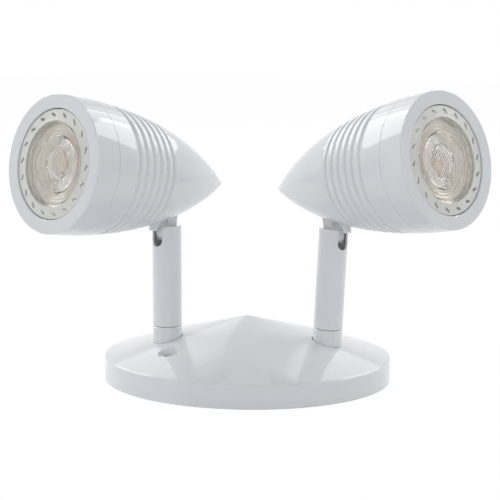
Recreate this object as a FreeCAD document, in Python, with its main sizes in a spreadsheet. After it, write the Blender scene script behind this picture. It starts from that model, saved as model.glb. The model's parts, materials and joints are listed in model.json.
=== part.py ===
import FreeCAD, Part
import Sketcher
import math
import os

# Twin pivoting spotlight wall light: a round pressed canopy, two short stems that
# swivel on fixed collars, and two cone shaped spotlight heads that tilt on a cross pin.
# Millimetres. Origin: centre of the canopy's back plane, +Z away from the wall,
# +X to the right and -Y towards the viewer of the photograph.

V = FreeCAD.Vector
doc = FreeCAD.newDocument("wall_light")
sheet = doc.addObject("Spreadsheet::Sheet", "Sizes")

SIZES = [
    # canopy
    ("canopy_r", 69.85, "outer radius of the canopy"),
    ("canopy_rim", 11.55, "height of the upright rim"),
    ("canopy_corner", 1.2, "radius where the rim turns into the crown"),
    ("canopy_wall", 1.2, "sheet thickness"),
    ("canopy_slope", 14.3, "slope of the straight inner cone, degrees"),
    ("canopy_cone_r", 35.0, "radius where the straight cone ends"),
    ("canopy_crown", 430.0, "radius of the curve from the cone to the rim"),
    ("canopy_apex", 10.0, "rounding of the apex"),
    ("seat_rise", 5.0, "height over which a pressed seat widens by its draft"),
    ("stem_seat_margin", 0.35, "how far the seat under a collar reaches past the collar"),
    ("stem_seat_draft", 0.3, "how much the seat under a collar widens"),
    ("stem_seat_depth", 1.714, "depth of the seat under a collar at the stem's axis"),
    ("screw_seat_r", 5.0, "radius of the flat seat at a fixing hole"),
    ("screw_seat_draft", 1.0, "how much the seat at a fixing hole widens"),
    ("screw_seat_depth", 2.0, "depth of the seat at a fixing hole"),
    ("fixing_hole_r", 2.4, "radius of a fixing hole"),
    ("fixing_circle_r", 48.5, "radius of the circle of fixing holes"),
    ("fixing_angle", 42.2, "turn of the fixing holes from the X axis, degrees"),
    # stems
    ("stem_x", 38.14, "sideways place of each stem"),
    ("stem_forward", 11.5, "how far the stems stand in front of the centre"),
    ("left_lean", 0.61, "outward lean of the left stem, degrees"),
    ("right_lean", 2.29, "outward lean of the right stem, degrees"),
    ("collar_height", 8.15, "height of the fixed collar"),
    ("tube_r", 7.0, "outer radius of the stem tube and collar"),
    ("tube_wall", 1.0, "wall of the stem tube"),
    ("tube_gap", 0.27, "gap between the collar and the turning tube"),
    ("tube_over_pin", 3.93, "how far the tube reaches above the cross pin"),
    ("edge_break", 0.3, "small chamfer on turned edges"),
    ("slot_width", 6.7, "width of the slot in the tube's top"),
    ("slot_drop", 5.9, "depth of the slot below the cross pin"),
    ("pin_over_collar", 44.97, "height of the cross pin above the collar"),
    ("pin_r", 1.5, "radius of the cross pin"),
    ("pin_fit", 0.02, "radial clearance of the pin in the tube"),
    ("pin_inset", 0.03, "how far the pin's ends lie inside the tube's skin"),
    ("spacer_r", 2.4, "radius of the friction spacers"),
    ("spacer_gap", 0.05, "play beside the tongue"),
    ("shank_r", 4.0, "radius of the threaded shank"),
    ("shank_hole_gap", 0.15, "clearance of the shank in the canopy"),
    ("shank_length", 8.1, "length of the shank below the seat"),
    ("wire_bore_r", 2.3, "bore through collar and shank"),
    ("spigot_r", 3.8, "radius of the spigot that the stem turns on"),
    ("spigot_length", 11.75, "length of the spigot above the collar"),
    ("swivel_fit", 0.04, "radial clearance of the swivel"),
    ("swivel_play", 0.05, "axial play of the swivel"),
    ("plug_length", 9.0, "length of the plug in the stem's foot"),
    ("plug_fit", 0.01, "radial clearance of the plug in the tube"),
    ("friction_thick", 0.5, "thickness of the friction washer"),
    ("friction_r", 5.6, "radius of the friction washer"),
    ("ring_thick", 0.8, "thickness of the retaining ring"),
    ("ring_r", 5.2, "outer radius of the retaining ring"),
    ("ring_groove_r", 3.2, "bottom radius of the ring groove"),
    ("stop_radius", 4.7, "distance of the stop pin from the stem axis"),
    ("stop_pin_r", 0.7, "radius of the stop pin"),
    ("stop_depth", 4.0, "depth of the stop pin in the collar"),
    ("stop_stand", 1.3, "how far the stop pin stands out"),
    ("swivel_in", 35.0, "inward swivel from straight ahead, degrees"),
    ("swivel_out", 200.0, "outward swivel from straight ahead, degrees"),
    ("washer_r", 6.0, "radius of the lock washer"),
    ("washer_thick", 1.0, "thickness of the lock washer"),
    ("nut_flats", 12.0, "width across the flats of the stem nut"),
    ("nut_thick", 3.0, "thickness of the stem nut"),
    ("lug_thick", 0.8, "thickness of the ground ring lug"),
    # wiring
    ("lead_r", 0.9, "radius of an insulated lead"),
    ("lead_apart", 1.9, "distance between the two leads of a pair"),
    ("lead_bend", 3.0, "smallest bend of the leads in the canopy"),
    ("connector_x", 8.0, "sideways place of the wire connectors"),
    ("connector_y", 12.0, "mouth of the wire connectors"),
    ("connector_z", 6.25, "height of the wire connectors"),
    ("connector_r", 4.6, "mouth radius of a wire connector"),
    ("connector_tip_r", 3.4, "tip radius of a wire connector"),
    ("connector_bore_r", 3.3, "bore of a wire connector"),
    ("connector_length", 18.0, "length of a wire connector"),
    ("connector_depth", 11.0, "bore depth of a wire connector"),
    # heads
    ("left_pan", 41.81, "outward swivel of the left head at rest, degrees"),
    ("right_pan", 47.49, "outward swivel of the right head at rest, degrees"),
    ("left_tilt", 9.21, "upward tilt of the left head at rest, degrees"),
    ("right_tilt", 13.8, "upward tilt of the right head at rest, degrees"),
    ("head_clear", 0.81, "gap between the head's skin and the circle of the tube's ears"),
    ("pin_back", 74.5, "distance of the cross pin behind the face"),
    ("face_r", 31.75, "radius of the front face"),
    ("opening_fit", 0.3, "gap round the lamp in the front opening"),
    ("straight_t", 3.04, "length of the cylindrical front edge"),
    ("barrel_curve", 203.3, "radius of the barrel's outline"),
    ("curve_change_t", 54.48, "where the outline turns into the tail's curve"),
    ("tail_curve", 160.8, "radius of the tail's outline"),
    ("tip_round", 1.4, "rounding of the tip"),
    ("seam_t", 12.7, "distance of the bezel seam behind the face"),
    ("seam_gap", 0.06, "gap in the bezel seam"),
    ("seam_break", 0.12, "chamfer on both edges of the seam"),
    ("groove_first", 25.8, "distance of the first groove behind the face"),
    ("groove_pitch", 5.0, "distance between grooves"),
    ("groove_half", 1.03, "half width of a groove"),
    ("groove_round", 1.08, "radius of a groove's bottom"),
    ("rib_round", 5.0, "radius of a rib's crest"),
    ("rib_drop", 0.25, "how far a rib's edges lie below the outline"),
    ("spigot_t", 5.4, "front end of the housing's threaded spigot"),
    ("front_wall", 2.2, "wall of the housing's threaded spigot"),
    ("front_fit", 0.06, "radial clearance of the bezel on the spigot"),
    ("bezel_front", 2.4, "thickness of the bezel's front"),
    ("lamp_room", 2.3, "gap between the lamp and the housing's cavity"),
    ("cavity_straight_t", 22.0, "where the cavity begins to narrow"),
    ("cavity_curve", 132.0, "radius of the cavity's outline"),
    ("cavity_end_t", 85.0, "rear end of the cavity"),
    ("nose_clear", 2.3, "gap between the tube and the nose in front of it"),
    ("nose_depth", 1.6, "depth of the nose along the head at its lower end"),
    ("nose_root", 1.7, "how far the nose's root reaches behind its lower back edge"),
    ("nose_ledge", 0.3, "step where the nose's back meets the skin"),
    ("nose_low", 0.5, "lowest part of the nose, above the pin"),
    ("nose_round", 1.5, "rounding of the nose's lower front edge"),
    ("tongue_side_fit", 0.3, "gap between the tongue and each side of the slot"),
    ("tongue_eye_r", 4.15, "radius of the tongue's eye"),
    ("tongue_neck", 5.8, "width of the tongue's neck"),
    ("tongue_flare", 2.0, "flare behind the tongue's neck at the skin"),
    ("tongue_fit", 0.05, "radial clearance of the tongue on the pin"),
    ("wire_hole_r", 1.1, "radius of the wire holes"),
    ("wire_hole_x", 1.5, "distance of the wire holes from the middle"),
    ("wire_hole_y", 4.0, "distance of the bracket's wire holes from the head's axis"),
    ("wire_hole_ahead", 5.3, "distance of the housing's wire holes ahead of the pin"),
    ("post_r", 2.6, "radius of the posts that carry the lamp holder"),
    ("post_x", 9.0, "distance of the posts from the head's axis"),
    # lamp and holder
    ("lamp_face_t", 0.6, "how far the lamp's face lies inside the front"),
    ("lamp_r", 25.0, "outer radius of the lamp"),
    ("lamp_ring_thick", 4.0, "thickness of the lamp's front ring"),
    ("lamp_lip", 0.4, "height of the lip that holds the lens"),
    ("lamp_lip_width", 1.0, "width of the lip that holds the lens"),
    ("lens_r", 19.5, "radius of the lens"),
    ("lens_thick", 3.0, "thickness of the lens"),
    ("lamp_slots", 18, "number of air slots in the lamp's front ring"),
    ("lamp_slot_out", 3.0, "distance of the air slots from the lens"),
    ("lamp_slot_length", 3.5, "length of an air slot"),
    ("lamp_slot_width", 1.0, "width of an air slot"),
    ("lamp_slot_turn", 30.0, "turn of an air slot from the tangent, degrees"),
    ("lamp_neck_r", 13.5, "radius of the lamp body's rear end"),
    ("lamp_neck_t", 40.0, "rear end of the lamp body"),
    ("lamp_shell", 1.6, "wall of the lamp body"),
    ("led_t", 12.0, "front of the circuit board"),
    ("board_r", 16.0, "radius of the circuit board"),
    ("base_r", 12.4, "radius of the lamp base"),
    ("base_end_t", 48.0, "rear end of the lamp base"),
    ("lamp_pin_r", 1.6, "radius of a lamp pin's neck"),
    ("lamp_pin_head_r", 2.5, "radius of a lamp pin's head"),
    ("lamp_pin_length", 7.4, "length of the lamp pins"),
    ("lamp_pin_y", 5.0, "distance of a lamp pin from the axis"),
    ("holder_gap", 0.3, "gap between lamp base and holder"),
    ("holder_r", 14.0, "radius of the lamp holder"),
    ("holder_end_t", 66.0, "rear end of the lamp holder"),
    ("socket_r", 2.9, "radius of the holder's pin sockets"),
    ("socket_depth", 9.0, "depth of the pin sockets"),
    ("bracket_thick", 1.2, "thickness of the holder bracket"),
    ("bracket_width", 13.0, "height of the holder bracket"),
    ("bracket_length", 26.0, "length of the holder bracket"),
    ("screw_r", 1.5, "radius of the holder screws"),
    ("screw_head_r", 2.7, "head radius of the holder screws"),
    ("screw_head", 2.0, "head height of the holder screws"),
    ("screw_length", 24.0, "length of the holder screws under the head"),
    ("screw_clear", 0.15, "radial clearance round the holder screws"),
]

for row, (name, value, note) in enumerate(SIZES, start=1):
    sheet.set("A%d" % row, note)
    sheet.set("B%d" % row, str(value))
    sheet.setAlias("B%d" % row, name)
doc.recompute()


class Size:
    """A formula of the sheet's cells, carried with its present value."""

    def __init__(self, text, value):
        self.text = text
        self.value = value

    def join(self, sign, other, value):
        return Size("(%s %s %s)" % (self.text, sign, other.text), value)

    def __add__(self, other):
        other = sized(other)
        return self.join("+", other, self.value + other.value)

    def __radd__(self, other):
        return sized(other) + self

    def __sub__(self, other):
        other = sized(other)
        return self.join("-", other, self.value - other.value)

    def __rsub__(self, other):
        return sized(other) - self

    def __mul__(self, other):
        other = sized(other)
        return self.join("*", other, self.value * other.value)

    def __rmul__(self, other):
        return sized(other) * self

    def __truediv__(self, other):
        other = sized(other)
        return self.join("/", other, self.value / other.value)

    def __neg__(self):
        return Size("(0 - %s)" % self.text, -self.value)


def sized(item):
    if isinstance(item, Size):
        return item
    return Size("(%.6f)" % item, float(item))


def cell(name):
    return Size("Sizes.%s" % name, float(sheet.get(name)))


def root(item):
    return Size("sqrt(%s)" % item.text, math.sqrt(item.value))


def sine(item):
    return Size("sin(%s)" % item.text, math.sin(math.radians(item.value)))


def cosine(item):
    return Size("cos(%s)" % item.text, math.cos(math.radians(item.value)))


def squared(item):
    return item * item


# Levels that follow from the sizes

def crown_centre():
    """Centre of the crown's curve, which runs smoothly from the cone to the corner."""
    slope = cell("canopy_slope")
    centre_x = cell("canopy_cone_r") - cell("canopy_crown") * sine(slope)
    corner = cell("canopy_corner")
    reach = cell("canopy_crown") - corner
    corner_x = cell("canopy_r") - corner
    corner_z = cell("canopy_rim") - corner
    centre_z = corner_z - root(squared(reach) - squared(corner_x - centre_x))
    return centre_x, centre_z


def crown_height(rho, lower=0):
    """Height of the crown's curve at a radius, lowered along its own radius."""
    centre_x, centre_z = crown_centre()
    curve = cell("canopy_crown") - lower
    return centre_z + root(squared(curve) - squared(sized(rho) - centre_x))


def barrel_r(t):
    """Radius of the head's outline ahead of the change of curve."""
    curve = cell("barrel_curve")
    return cell("face_r") - curve + root(squared(curve) - squared(t - cell("straight_t")))


def tail_centre():
    """Centre of the tail's curve, which leaves the barrel's curve smoothly."""
    change = cell("curve_change_t")
    lean = (change - cell("straight_t")) / cell("barrel_curve")
    share = root(1 - squared(lean))
    return (barrel_r(change) - cell("tail_curve") * share,
            change - cell("tail_curve") * lean)


def tail_r(t):
    """Radius of the head's outline behind the change of curve."""
    centre_x, centre_t = tail_centre()
    return centre_x + root(squared(cell("tail_curve")) - squared(t - centre_t))


levels = doc.addObject("Spreadsheet::Sheet", "Levels")
LEVELS = []


def level(name, item):
    """Keeps a derived size in a sheet of its own, so that formulas stay short."""
    LEVELS.append(name)
    row = len(LEVELS)
    levels.set("B%d" % row, "=%s" % item.text)
    levels.setAlias("B%d" % row, name)
    return Size("Levels.%s" % name, item.value)


SEAT_Z = level("seat_z", crown_height(
    root(squared(cell("stem_x")) + squared(cell("stem_forward")))) - cell("stem_seat_depth"))
COLLAR_TOP = level("collar_top", SEAT_Z + cell("collar_height"))
SHANK_END = level("shank_end", SEAT_Z - cell("shank_length"))
SPIGOT_TOP = level("spigot_top", COLLAR_TOP + cell("spigot_length"))
TUBE_BOTTOM = level("tube_bottom", COLLAR_TOP + cell("tube_gap"))
PIN_Z = level("pin_z", COLLAR_TOP + cell("pin_over_collar"))
TUBE_TOP = level("tube_top", PIN_Z + cell("tube_over_pin"))
SCREW_SEAT_Z = level("screw_seat_z",
                     crown_height(cell("fixing_circle_r")) - cell("screw_seat_depth"))
EAR_R = level("ear_r", root(squared(cell("tube_r")) - squared(cell("slot_width") / 2)
                            + squared(cell("tube_over_pin"))))
HEAD_RISE = level("head_rise", tail_r(cell("pin_back")) + EAR_R + cell("head_clear"))
OPENING_R = level("opening_r", cell("lamp_r") + cell("opening_fit"))
CAVITY_R = level("cavity_r", cell("lamp_r") + cell("lamp_room"))
FRONT_SPIGOT_R = level("front_spigot_r", CAVITY_R + cell("front_wall"))
TONGUE_THICK = level("tongue_thick", cell("slot_width") - cell("tongue_side_fit") * 2)
doc.recompute()


# Sketches

def origin_plane(body, role):
    return [item for item in body.Origin.OriginFeatures if item.Role == role][0]


def new_body(label):
    body = doc.addObject("PartDesign::Body", label)
    body.Label = label
    return body


def sketch_on(body, role, offset=None):
    sketch = body.newObject("Sketcher::SketchObject", "%s_sketch" % body.Name)
    sketch.AttachmentSupport = [(origin_plane(body, role), "")]
    sketch.MapMode = "FlatFace"
    if offset is not None:
        sketch.setExpression("AttachmentOffset.Base.z", sized(offset).text)
    return sketch


def pin_point(sketch, geo, pos, x, y):
    """Holds one point of the sketch at x, y, each a formula."""
    for kind, item, axis in (("DistanceX", x, -2), ("DistanceY", y, -1)):
        item = sized(item)
        if abs(item.value) < 1e-9:
            sketch.addConstraint(Sketcher.Constraint("PointOnObject", geo, pos, axis))
        else:
            index = sketch.addConstraint(
                Sketcher.Constraint(kind, -1, 1, geo, pos, item.value))
            sketch.setExpression("Constraints[%d]" % index, item.text)


def outline(sketch, steps):
    """Closed outline. A step is (x, y) for a line to that point, or
    (x, y, radius, side) for an arc; side 1 turns left, -1 turns right."""
    count = len(steps)
    ends = []
    for index, step in enumerate(steps):
        x1, y1 = [sized(item).value for item in steps[index - 1][:2]]
        x2, y2 = [sized(item).value for item in step[:2]]
        if len(step) == 2:
            geo = sketch.addGeometry(Part.LineSegment(V(x1, y1, 0), V(x2, y2, 0)), False)
            ends.append((geo, 1, 2))
            continue
        radius = sized(step[2])
        side = step[3]
        half = math.hypot(x2 - x1, y2 - y1) / 2
        lift = math.sqrt(max(radius.value ** 2 - half ** 2, 0.0))
        cx = (x1 + x2) / 2 - side * lift * (y2 - y1) / (2 * half)
        cy = (y1 + y2) / 2 + side * lift * (x2 - x1) / (2 * half)
        a1 = math.atan2(y1 - cy, x1 - cx)
        a2 = math.atan2(y2 - cy, x2 - cx)
        if side < 0:
            a1, a2 = a2, a1
        if a2 < a1:
            a2 += 2 * math.pi
        circle = Part.Circle(V(cx, cy, 0), V(0, 0, 1), radius.value)
        geo = sketch.addGeometry(Part.ArcOfCircle(circle, a1, a2), False)
        ends.append((geo, 1, 2) if side > 0 else (geo, 2, 1))
        bound = sketch.addConstraint(Sketcher.Constraint("Radius", geo, radius.value))
        sketch.setExpression("Constraints[%d]" % bound, radius.text)
    for index in range(count):
        before = ends[index]
        after = ends[(index + 1) % count]
        sketch.addConstraint(
            Sketcher.Constraint("Coincident", before[0], before[2], after[0], after[1]))
        pin_point(sketch, before[0], before[2], steps[index][0], steps[index][1])


def circle_in(sketch, x, y, radius):
    x, y, radius = sized(x), sized(y), sized(radius)
    geo = sketch.addGeometry(
        Part.Circle(V(x.value, y.value, 0), V(0, 0, 1), radius.value), False)
    pin_point(sketch, geo, 3, x, y)
    index = sketch.addConstraint(Sketcher.Constraint("Radius", geo, radius.value))
    sketch.setExpression("Constraints[%d]" % index, radius.text)


# Features

def revolve(body, steps, kind="PartDesign::Revolution"):
    """Outline in (radius, height) turned about the body's Z axis."""
    sketch = sketch_on(body, "XZ_Plane")
    outline(sketch, steps)
    doc.recompute()
    feature = body.newObject(kind, "%s_turned" % body.Name)
    feature.Profile = (sketch, [""])
    feature.ReferenceAxis = (sketch, ["V_Axis"])
    feature.Angle = 360
    doc.recompute()
    return feature


def extrude(body, sketch, length, kind="PartDesign::Pad", both=False, flip=False):
    doc.recompute()
    feature = body.newObject(kind, "%s_%s" % (body.Name, kind.split("::")[1]))
    feature.Profile = (sketch, [""])
    if length is None:
        feature.Type = "ThroughAll"
    else:
        feature.setExpression("Length", sized(length).text)
    if both:
        feature.SideType = "Symmetric"
    feature.Reversed = flip
    doc.recompute()
    return feature


def disc_features(body, places, radius, offset, length, kind, flip=False):
    """One pad or pocket of equal circles on a plane square to the body's axis."""
    sketch = sketch_on(body, "XY_Plane", offset)
    for x, y in places:
        circle_in(sketch, x, y, radius)
    return extrude(body, sketch, length, kind, flip=flip)


# Frames

def placement(x_axis, y_axis, z_axis, at):
    matrix = FreeCAD.Matrix(x_axis.x, y_axis.x, z_axis.x, at.x,
                            x_axis.y, y_axis.y, z_axis.y, at.y,
                            x_axis.z, y_axis.z, z_axis.z, at.z,
                            0, 0, 0, 1)
    return FreeCAD.Placement(matrix)


def number(name):
    return float(sheet.get(name))


SIDES = (("left", -1), ("right", 1))


class Stance:
    """Where one stem and its head stand, from the angles in the sheet."""

    def __init__(self, side, out, pan):
        lean = math.radians(number("%s_lean" % side))
        turn = math.radians(pan)
        tilt = math.radians(number("%s_tilt" % side))
        self.axis = V(out * math.sin(lean), 0, math.cos(lean))
        self.base = V(out * number("stem_x"), -number("stem_forward"), 0)
        ahead = V(out * math.sin(turn), -math.cos(turn), 0)
        ahead = ahead - self.axis * ahead.dot(self.axis)
        ahead.normalize()
        self.ahead = ahead
        self.across = (ahead * -1).cross(self.axis)
        self.pin = self.base + self.axis * PIN_Z.value
        self.point = ahead * math.cos(tilt) + self.axis * math.sin(tilt)
        self.up = self.axis * math.cos(tilt) - ahead * math.sin(tilt)
        self.face = self.pin + self.up * HEAD_RISE.value + self.point * number("pin_back")

    def stem(self):
        return placement(self.across, self.ahead * -1, self.axis, self.base)

    def cross_pin(self):
        return placement(self.ahead * -1, self.axis, self.across, self.pin)

    def head(self):
        return placement(self.across, self.up * -1, self.point * -1, self.face)


NODES = []


def node(piece, where=None):
    if where is not None:
        piece.Placement = where
    NODES.append(piece)
    return piece


def grouped(label, pieces, where):
    """Equal pieces that share one node stay separate solids."""
    group = doc.addObject("Part::Compound", label)
    group.Label = label
    group.Links = pieces
    return node(group, where)


def cylinder(name, radius, height, base=None):
    item = doc.addObject("Part::Cylinder", name)
    item.setExpression("Radius", sized(radius).text)
    item.setExpression("Height", sized(height).text)
    if base is not None:
        for axis, value in zip("xyz", base):
            item.setExpression("Placement.Base.%s" % axis, sized(value).text)
    return item


def cut(name, base, tool):
    item = doc.addObject("Part::Cut", name)
    item.Base = base
    item.Tool = tool
    return item


def fuse(name, items):
    item = doc.addObject("Part::MultiFuse", name)
    item.Shapes = items
    return item


def ring(name, outer, inner, height, base=None):
    solid = cylinder("%s_disc" % name, outer, height, base)
    hole = cylinder("%s_hole" % name, inner, height, base)
    return cut(name, solid, hole)


# Canopy

def canopy_outline(lower):
    """Outer skin for lower 0, or the inner skin one wall further in."""
    slope = cell("canopy_slope")
    centre_x, centre_z = crown_centre()
    curve = cell("canopy_crown") - lower
    cone_x = centre_x + curve * sine(slope)
    cone_z = centre_z + curve * cosine(slope)
    apex = cell("canopy_apex") - lower
    top_x = apex * sine(slope)
    top_z = cone_z + (cone_x - top_x) * sine(slope) / cosine(slope)
    tip_z = top_z + apex * (1 - cosine(slope))
    return curve, cone_x, cone_z, apex, top_x, top_z, tip_z


def make_canopy():
    wall = cell("canopy_wall")
    corner = cell("canopy_corner")
    radius = cell("canopy_r")
    centre_x, centre_z = crown_centre()
    curve, cone_x, cone_z, apex, top_x, top_z, tip_z = canopy_outline(0)
    reach = curve - corner
    turn_x = centre_x + (radius - corner - centre_x) * curve / reach
    turn_z = centre_z + (cell("canopy_rim") - corner - centre_z) * curve / reach
    skin = new_body("canopy_skin")
    revolve(skin, [
        (0, 0),
        (radius, 0),
        (radius, cell("canopy_rim") - corner),
        (turn_x, turn_z, corner, 1),
        (cone_x, cone_z, curve, 1),
        (top_x, top_z),
        (0, tip_z, apex, 1),
    ])
    curve, cone_x, cone_z, apex, top_x, top_z, tip_z = canopy_outline(wall)
    hollow = new_body("canopy_hollow")
    revolve(hollow, [
        (0, -1),
        (radius - wall, -1),
        (radius - wall, crown_height(radius - wall, wall)),
        (cone_x, cone_z, curve, 1),
        (top_x, top_z),
        (0, tip_z, apex, 1),
    ])
    pockets = []
    bosses = []
    holes = []
    rise = cell("seat_rise")

    def seat(name, where, seat_r, draft, height, hole_r):
        slant = root(squared(draft) + squared(rise)) / rise
        pocket = doc.addObject("Part::Cone", "%s_pocket" % name)
        pocket.setExpression("Radius1", seat_r.text)
        pocket.setExpression("Radius2", (seat_r + draft).text)
        pocket.setExpression("Height", rise.text)
        boss = doc.addObject("Part::Cone", "%s_boss" % name)
        outer = seat_r + wall * slant - wall * draft / rise
        boss.setExpression("Radius1", outer.text)
        boss.setExpression("Radius2", (outer + draft).text)
        boss.setExpression("Height", rise.text)
        hole = doc.addObject("Part::Cylinder", "%s_hole" % name)
        hole.setExpression("Radius", hole_r.text)
        hole.setExpression("Height", rise.text)
        pocket.Placement = where.multiply(placement(
            V(1, 0, 0), V(0, 1, 0), V(0, 0, 1), V(0, 0, height.value)))
        boss.Placement = where.multiply(placement(
            V(1, 0, 0), V(0, 1, 0), V(0, 0, 1), V(0, 0, height.value - wall.value)))
        hole.Placement = where.multiply(placement(
            V(1, 0, 0), V(0, 1, 0), V(0, 0, 1), V(0, 0, height.value - wall.value - 1)))
        pockets.append(pocket)
        bosses.append(boss)
        holes.append(hole)

    for side, out in SIDES:
        stance = Stance(side, out, 0)
        seat("%s_stem_seat" % side, stance.stem(), cell("tube_r") + cell("stem_seat_margin"),
             cell("stem_seat_draft"), SEAT_Z, cell("shank_r") + cell("shank_hole_gap"))
        angle = math.radians(number("fixing_angle"))
        spot = V(out * number("fixing_circle_r") * math.cos(angle),
                 out * number("fixing_circle_r") * math.sin(angle), 0)
        upright = placement(V(1, 0, 0), V(0, 1, 0), V(0, 0, 1), spot)
        seat("%s_screw_seat" % side, upright, cell("screw_seat_r"), cell("screw_seat_draft"),
             SCREW_SEAT_Z, cell("fixing_hole_r"))
    outside = cut("canopy_outside", skin, fuse("canopy_pockets", pockets))
    inside = cut("canopy_inside", hollow, fuse("canopy_bosses", bosses))
    shell = cut("canopy_shell", outside, inside)
    canopy = cut("canopy", shell, fuse("canopy_holes", holes))
    canopy.Label = "canopy"
    return node(canopy)


# Stem

def stop_place(out):
    """Place of the stop pin, seen from the stem's axis in the fixed frame."""
    middle = (cell("swivel_out") - cell("swivel_in")) / 2
    return (out * cell("stop_radius") * sine(middle), -cell("stop_radius") * cosine(middle))


def ring_floor():
    return (COLLAR_TOP + cell("swivel_play") + cell("plug_length")
            + cell("friction_thick") + cell("swivel_play"))


def make_collar(side, out, where):
    bore = cell("wire_bore_r")
    edge = cell("edge_break")
    floor = ring_floor()
    ceiling = floor + cell("ring_thick") + cell("swivel_play")
    body = new_body("%s_swivel_collar" % side)
    revolve(body, [
        (bore, SHANK_END),
        (cell("shank_r") - 0.5, SHANK_END),
        (cell("shank_r"), SHANK_END + 0.5),
        (cell("shank_r"), SEAT_Z),
        (cell("tube_r") - edge, SEAT_Z),
        (cell("tube_r"), SEAT_Z + edge),
        (cell("tube_r"), COLLAR_TOP - edge),
        (cell("tube_r") - edge, COLLAR_TOP),
        (cell("spigot_r"), COLLAR_TOP),
        (cell("spigot_r"), floor),
        (cell("ring_groove_r"), floor),
        (cell("ring_groove_r"), ceiling),
        (cell("spigot_r"), ceiling),
        (cell("spigot_r"), SPIGOT_TOP - edge),
        (cell("spigot_r") - edge, SPIGOT_TOP),
        (bore, SPIGOT_TOP),
    ])
    disc_features(body, [stop_place(out)], cell("stop_pin_r"), COLLAR_TOP,
                  cell("stop_depth"), "PartDesign::Pocket")
    node(body, where)
    pin = new_body("%s_stop_pin" % side)
    disc_features(pin, [stop_place(out)], cell("stop_pin_r") - 0.01,
                  COLLAR_TOP - cell("stop_depth"),
                  cell("stop_depth") + cell("stop_stand"), "PartDesign::Pad")
    node(pin, where)


def make_fasteners(side, where, lug):
    under = SEAT_Z - cell("canopy_wall")
    thread = cell("shank_r") + 0.02
    name = "%s_lock_washer" % side
    washer = ring(name, cell("washer_r"), thread, cell("washer_thick"),
                  (0, 0, under - cell("washer_thick")))
    node(washer, where)
    top = under - cell("washer_thick") - lug
    prism = doc.addObject("Part::Prism", "%s_nut_hexagon" % side)
    prism.Polygon = 6
    prism.setExpression("Circumradius", (cell("nut_flats") / cosine(sized(30)) / 2).text)
    prism.setExpression("Height", cell("nut_thick").text)
    prism.setExpression("Placement.Base.z", (top - cell("nut_thick")).text)
    prism.Placement.Rotation = FreeCAD.Rotation(V(0, 0, 1), 30)
    hole = cylinder("%s_nut_hole" % side, thread, cell("nut_thick"),
                    (0, 0, top - cell("nut_thick")))
    nut = cut("%s_stem_nut" % side, prism, hole)
    node(nut, where)


def make_swivel_hardware(side, where):
    name = "%s_friction_washer" % side
    floor = COLLAR_TOP + cell("swivel_play") + cell("plug_length")
    washer = ring(name, cell("friction_r"), cell("spigot_r") + cell("swivel_fit"),
                  cell("friction_thick"), (0, 0, floor + 0.02))
    node(washer, where)
    name = "%s_retaining_ring" % side
    base = (0, 0, ring_floor() + 0.02)
    closed = ring("%s_closed" % name, cell("ring_r"), cell("ring_groove_r") + 0.02,
                  cell("ring_thick"), base)
    mouth = doc.addObject("Part::Box", "%s_mouth" % name)
    mouth.setExpression("Length", (cell("ring_groove_r") * 1.5).text)
    mouth.setExpression("Width", (cell("ring_r") * 2).text)
    mouth.setExpression("Height", cell("ring_thick").text)
    mouth.setExpression("Placement.Base.x", (-cell("ring_groove_r") * 0.75).text)
    mouth.setExpression("Placement.Base.z", base[2].text)
    node(cut(name, closed, mouth), where)


def make_tube(side, where):
    edge = cell("edge_break")
    bore = cell("tube_r") - cell("tube_wall")
    body = new_body("%s_stem_tube" % side)
    revolve(body, [
        (bore, TUBE_BOTTOM),
        (cell("tube_r") - edge, TUBE_BOTTOM),
        (cell("tube_r"), TUBE_BOTTOM + edge),
        (cell("tube_r"), TUBE_TOP - edge),
        (cell("tube_r") - edge, TUBE_TOP),
        (bore, TUBE_TOP),
    ])
    half = cell("slot_width") / 2
    low = PIN_Z - cell("slot_drop")
    slot = sketch_on(body, "XZ_Plane")
    outline(slot, [
        (-half, TUBE_TOP + 1),
        (-half, low + half),
        (0, low, half, 1),
        (half, low + half, half, 1),
        (half, TUBE_TOP + 1),
    ])
    extrude(body, slot, None, "PartDesign::Pocket", both=True)
    hole = sketch_on(body, "YZ_Plane")
    circle_in(hole, 0, PIN_Z, cell("pin_r") + cell("pin_fit"))
    extrude(body, hole, None, "PartDesign::Pocket", both=True)
    node(body, where)


def make_plug(side, where):
    bore = cell("spigot_r") + cell("swivel_fit")
    outer = cell("tube_r") - cell("tube_wall") - cell("plug_fit")
    bottom = COLLAR_TOP + cell("swivel_play")
    body = new_body("%s_stem_plug" % side)
    revolve(body, [
        (bore, bottom),
        (outer, bottom),
        (outer, bottom + cell("plug_length")),
        (bore, bottom + cell("plug_length")),
    ])
    # the stop pin's half width seen from the axis, in degrees
    ratio = cell("stop_pin_r") / cell("stop_radius")
    pin_half = Size("(asin(%s) / 1 deg)" % ratio.text, math.degrees(math.asin(ratio.value)))
    half = (cell("swivel_in") + cell("swivel_out")) / 2 + pin_half + 0.3
    reach = cell("stop_radius") + cell("stop_pin_r") + 0.1
    slot = sketch_on(body, "XY_Plane", bottom)
    steps = [(0, 0)]
    for share in (-1, -0.5, 0, 0.5, 1):
        turn = half * share
        point = (reach * sine(turn), -reach * cosine(turn))
        if share == -1:
            steps.append(point)
        else:
            steps.append(point + (reach, 1))
    outline(slot, steps)
    extrude(body, slot, cell("stop_stand") + 0.4, "PartDesign::Pocket", flip=True)
    node(body, where)


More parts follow.
